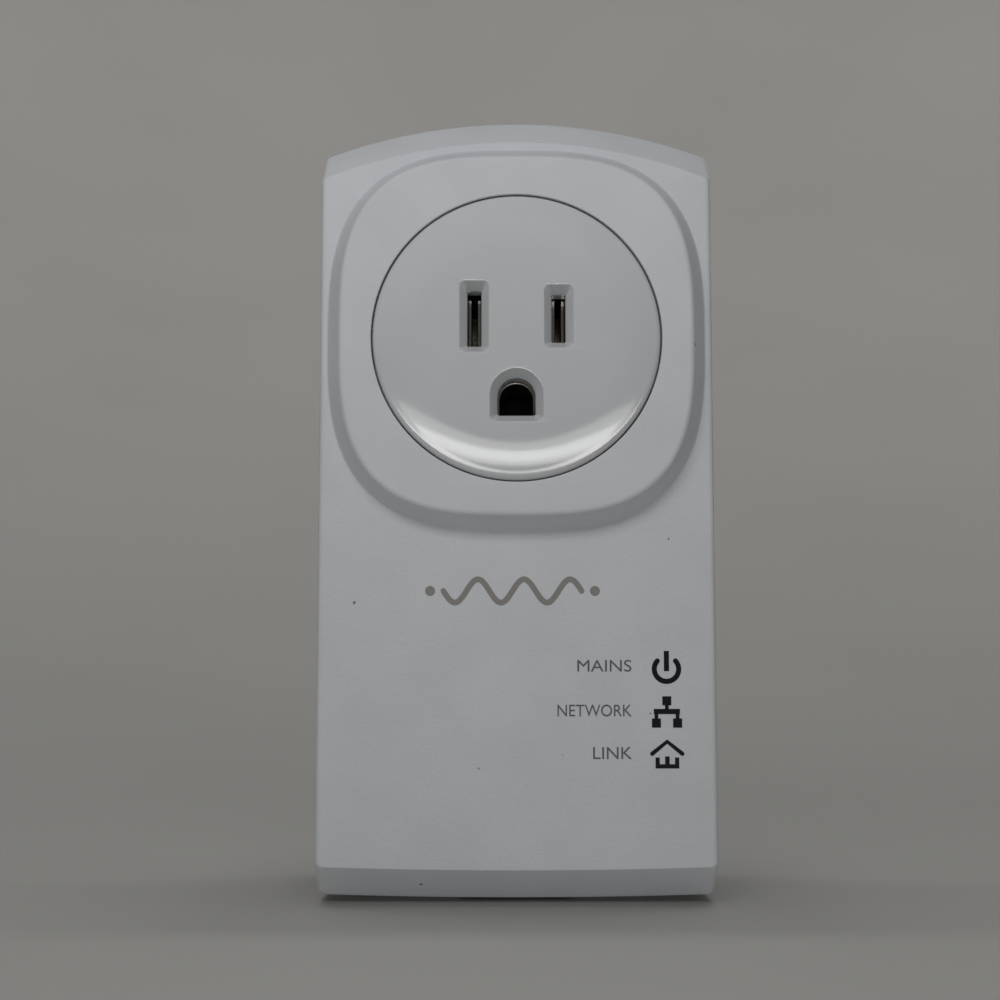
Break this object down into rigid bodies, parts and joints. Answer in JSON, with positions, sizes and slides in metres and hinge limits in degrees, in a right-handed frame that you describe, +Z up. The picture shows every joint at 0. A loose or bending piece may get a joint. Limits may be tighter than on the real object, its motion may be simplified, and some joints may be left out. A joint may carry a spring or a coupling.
{
  "type": "powerline adapter",
  "caption": "Wall-plug powerline network adapter: white housing with a pass-through round socket face, plug blades on the back, network port and pairing button on the lower end.",
  "frame": {"origin": "on the flat back that meets the wall, midway between the two line blades", "axes": "+Y into the wall, along the blades; -Y out of the socket face; +Z up the long side, from the network port towards the socket; +X to the right of someone facing the adapter"},
  "size_m": [0.06, 0.0645, 0.1207],
  "materials": {
    "housing_plastic": "fine matte texture, cool white",
    "face_plastic": "glossy, cool white",
    "button_plastic": "satin",
    "inner_plastic": "moulded, near black",
    "beige_plastic": "moulded",
    "clear_plastic": "clear, moulded",
    "contact_brass": "stamped",
    "contact_metal": "stamped, nickel plated",
    "plated_metal": "nickel plated",
    "screw_steel": "zinc plated",
    "board_resin": "solder mask",
    "ferrite": "matte",
    "winding": "yellow tape and enamelled wire",
    "chip_epoxy": "moulded epoxy",
    "capacitor_sleeve": "shrink sleeve",
    "film_capacitor": "moulded box",
    "varistor_coat": "dipped epoxy",
    "sink_aluminium": "extruded",
    "insulation": "sheet"
  },
  "bodies": {
    "case": {"front_cover": "housing_plastic", "rear_housing": "housing_plastic", "case_screw_1": "screw_steel", "case_screw_2": "screw_steel", "case_screw_3": "screw_steel", "case_screw_4": "screw_steel", "outlet_face": "face_plastic", "contact_carrier": "inner_plastic", "neutral_contact": "contact_metal", "hot_contact": "contact_metal", "ground_contact": "contact_metal", "carrier_screw_top": "screw_steel", "carrier_screw_bottom": "screw_steel", "neutral_blade": "plated_metal", "hot_blade": "plated_metal", "ground_pin": "plated_metal", "blade_block": "inner_plastic", "neutral_bus_bar": "contact_brass", "hot_bus_bar": "contact_brass", "ground_strap": "contact_brass", "main_board": "board_resin", "insulation_sheet": "insulation", "transformer_core": "ferrite", "transformer_winding": "winding", "bulk_capacitor": "capacitor_sleeve", "output_capacitor": "capacitor_sleeve", "filter_capacitor": "film_capacitor", "common_mode_choke": "winding", "varistor": "varistor_coat", "fuse": "clear_plastic", "bridge_rectifier": "chip_epoxy", "coupling_transformer": "ferrite", "coupling_capacitor": "film_capacitor", "modem_chip": "chip_epoxy", "heat_sink": "sink_aluminium", "ethernet_chip": "chip_epoxy", "memory_chip": "chip_epoxy", "crystal": "plated_metal", "isolation_transformer": "chip_epoxy", "power_led": "clear_plastic", "power_light_pipe": "clear_plastic", "network_led": "clear_plastic", "network_light_pipe": "clear_plastic", "data_led": "clear_plastic", "data_light_pipe": "clear_plastic", "board_screw_1": "screw_steel", "board_screw_2": "screw_steel", "port_body": "inner_plastic", "port_shield": "plated_metal", "port_contacts": "contact_metal", "sync_switch": "inner_plastic", "reset_switch": "inner_plastic"},
    "sync": {"sync_button": "button_plastic", "sync_plunger": "beige_plastic"},
    "reset": {"reset_plunger": "beige_plastic"}
  },
  "joints": [
    {"name": "sync_press", "type": "slide", "parent": "case", "child": "sync", "axis": [0, 0, 1], "range_m": [0, 0.0005], "stiffness_N_per_m": 1200, "springref_m": -0.0006},
    {"name": "reset_press", "type": "slide", "parent": "case", "child": "reset", "axis": [0, 0, 1], "range_m": [0, 0.0003], "stiffness_N_per_m": 1200, "springref_m": -0.0006}
  ]
}
